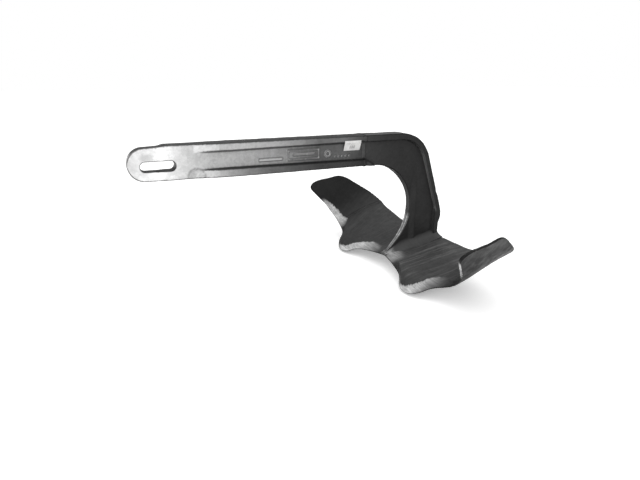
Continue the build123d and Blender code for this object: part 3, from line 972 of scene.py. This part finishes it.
def fluke_metal():
    """Plate steel: lined on the port half, smoother and darker to starboard and under the wings, the
    darker parts painted shade and the lighter upward faces painted light.
    """
    n = Metal("fluke_plate_steel")
    up = n.normal_parts()[2]
    # greys by which way a face points: painted light and shade, upward faces lighter, downward faces
    # near black
    tones = [(-1.0, 0.004), (-0.70, 0.004), (-0.60, 0.006), (-0.52, 0.014), (-0.44, 0.034),
             (-0.30, 0.026), (0.0, 0.02), (0.35, 0.018), (0.60, 0.020), (0.88, 0.048),
             (1.0, 0.056)]
    colour = n.skin(n.ramp(up, tones), 0.3)
    x, y, z = n.position()
    port = n.between(y, 0.04, -0.03, 0.35, 1.0)
    level = n.math("MULTIPLY", n.between(up, 0.80, 0.93), port)
    colour = n.mix(level, colour, n.lines(colour, 0.5))
    # painted shade: the starboard half darker
    colour = n.darken(colour, n.between(y, 0.0, 0.06), 0.45, 0.3)
    # painted shade on the wings' outer faces, darker low down and towards the rear
    wing = n.between(n.math("ABSOLUTE", y), 0.34, 0.38)
    outer = n.math("MULTIPLY", n.between(up, -0.25, -0.45), wing)
    low = n.math("ADD", n.between(z, 0.235, 0.165), n.between(x, 0.36, 0.47, 0.0, 0.9),
                 clamp=True)
    wing_outer_shade = n.math("MULTIPLY", outer, low)
    colour = n.wear_and_painted_light(n.darken(colour, wing_outer_shade, 0.95, 0.05), 0.75)
    return n.finish(colour, 0.44, 0.12, 0.0)


def paper():
    """White paper with a plain block of bars and two rules, no lettering."""
    n = Nodes("label_paper")
    along, _, height = n.position()
    low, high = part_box("price_label")
    x = n.share_of(along, low.x, high.x)
    z = n.share_of(height, low.z, high.z)

    def window(x0, x1, z0, z1):
        inside = n.math("MULTIPLY", n.math("GREATER_THAN", x, x0), n.math("LESS_THAN", x, x1))
        tall = n.math("MULTIPLY", n.math("GREATER_THAN", z, z0), n.math("LESS_THAN", z, z1))
        return n.math("MULTIPLY", inside, tall)

    bars = n.noise(900, stretch=(1, 0, 0), detail=2)
    bars = n.math("GREATER_THAN", bars, 0.49)
    ink = n.math("MULTIPLY", bars, window(0.34, 0.66, 0.20, 0.52))
    dots = n.math("GREATER_THAN", n.noise(700, detail=1), 0.50)
    rules = n.math("ADD", window(0.12, 0.80, 0.62, 0.67), window(0.12, 0.55, 0.74, 0.78))
    ink = n.math("ADD", ink, n.math("MULTIPLY", rules, dots), clamp=True)
    sheet = n.mix(n.between(n.noise(60), 0.3, 0.7), grey(0.50, 0.008), grey(0.60, 0.012))
    colour = n.mix(n.math("MULTIPLY", ink, 0.75), sheet, grey(0.12))
    n.wire(colour, n.shader.inputs["Base Color"])
    n.wire(n.between(n.noise(150), 0.3, 0.7, 0.6, 0.8), n.shader.inputs["Roughness"])
    n.wire(n.bump(n.noise(600), 0.15, 0.0002), n.shader.inputs["Normal"])
    return n.material


def floor_material():
    n = Nodes("pale_floor")
    colour = n.mix(n.between(n.noise(1.5), 0.3, 0.7), grey(0.90), grey(0.92))
    n.wire(colour, n.shader.inputs["Base Color"])
    n.wire(n.between(n.noise(3), 0.3, 0.7, 0.85, 0.95), n.shader.inputs["Roughness"])
    n.shader.inputs["Specular IOR Level"].default_value = 0.1
    n.shader.inputs["Emission Color"].default_value = (1, 1, 1, 1)
    n.shader.inputs["Emission Strength"].default_value = 0.3
    return n.material


# greys along the arm's sides and its upper face, as (x in metres, grey)
# the sides' fall from silver at the eye to charcoal is mostly painted light falloff; the upper face's
# lower greys are painted shade
ARM_TONES = [(-0.50, 0.61), (-0.42, 0.84), (-0.34, 0.49), (-0.27, 0.37), (-0.20, 0.38),
             (-0.10, 0.27), (0.04, 0.092), (0.12, 0.10), (0.18, 0.045), (0.50, 0.03)]
TOP_TONES = [(-0.50, 0.03), (-0.30, 0.028), (0.0, 0.011), (0.14, 0.009), (0.50, 0.014)]

# ---- build ------------------------------------------------------------------------------
arm_steel, neck_steel, plate_steel = arm_metal(), body_metal(), fluke_metal()


def dress(piece, node_names, material):
    piece.data.materials.clear()
    piece.data.materials.append(material)
    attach(piece, "root")
    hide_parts(*node_names)


dress(build_arm(), ["shank_arm"], arm_steel)
dress(build_arm_weld(), ["arm_weld"], arm_steel)
dress(build_neck(), ["shank_neck"], neck_steel)
fluke = build_fluke()
dress(fluke["fluke_center_plate"], ["fluke_center"], plate_steel)
for name, side in (("port", -1), ("starboard", 1)):
    dress(fluke["wing_" + name], ["fluke_wing_" + name], plate_steel)
    dress(fluke["seam_" + name], ["wing_weld_" + name], plate_steel)
    dress(build_foot("foot_fillet_" + name, side), ["foot_weld_" + name], neck_steel)
dress(build_label(), ["price_label"], paper())

# ---- stage ------------------------------------------------------------------------------
floor_mesh = bpy.data.meshes.new("floor")
floor_mesh.from_pydata([(-30, -30, 0), (30, -30, 0), (30, 30, 0), (-30, 30, 0)], [],
                       [(0, 1, 2, 3)])
floor = bpy.data.objects.new("floor", floor_mesh)
floor.location.z = -0.0005
bpy.context.scene.collection.objects.link(floor)
floor_mesh.materials.append(floor_material())

world = bpy.data.worlds.new("studio")
bpy.context.scene.world = world
world.use_nodes = True
sky = world.node_tree
back = sky.nodes["Background"]
back.inputs[0].default_value = (1, 1, 1, 1)
level = sky.nodes.new("ShaderNodeMapRange")
path = sky.nodes.new("ShaderNodeLightPath")
sky.links.new(path.outputs["Is Camera Ray"], level.inputs[0])
level.inputs[3].default_value = 0.45    # what lights the scene
level.inputs[4].default_value = 1.0     # what shows as the background
sky.links.new(level.outputs[0], back.inputs[1])


def area_light(name, spot, target, size, power):
    lamp = bpy.data.lights.new(name, "AREA")
    lamp.shape = "DISK"
    lamp.size = size
    lamp.energy = power
    piece = bpy.data.objects.new(name, lamp)
    bpy.context.scene.collection.objects.link(piece)
    piece.location = spot
    aim = Vector(target) - Vector(spot)
    piece.rotation_euler = aim.to_track_quat("-Z", "Y").to_euler()


area_light("key", (-1.1, -1.2, 0.75), (-0.30, 0, 0.40), 0.8, 9)
sun = bpy.data.lights.new("ceiling", "SUN")
sun.energy = 2.3
sun.angle = radians(120)
ceiling = bpy.data.objects.new("ceiling", sun)
bpy.context.scene.collection.objects.link(ceiling)
ceiling.rotation_euler = (radians(8), radians(-6), 0)

lens = bpy.data.cameras.new("view")
lens.sensor_width = 36.0
lens.lens = 27.22
camera = bpy.data.objects.new("view", lens)
bpy.context.scene.collection.objects.link(camera)
right = Vector((0.91043, -0.41367, -0.00120))
down = Vector((-0.13185, -0.28744, -0.94868))
forward = Vector((0.39210, 0.86386, -0.31624))
forward = (forward + 0.0012 * right - 0.0006 * down).normalized()
right = (right - forward * right.dot(forward)).normalized()
down = forward.cross(right)
turn = Matrix((right, -down, -forward)).transposed()
camera.matrix_world = Matrix.Translation(place([-59.6, -1350.4, 211.4])) @ turn.to_4x4()
bpy.context.scene.camera = camera
bpy.context.scene.view_settings.view_transform = "Standard"
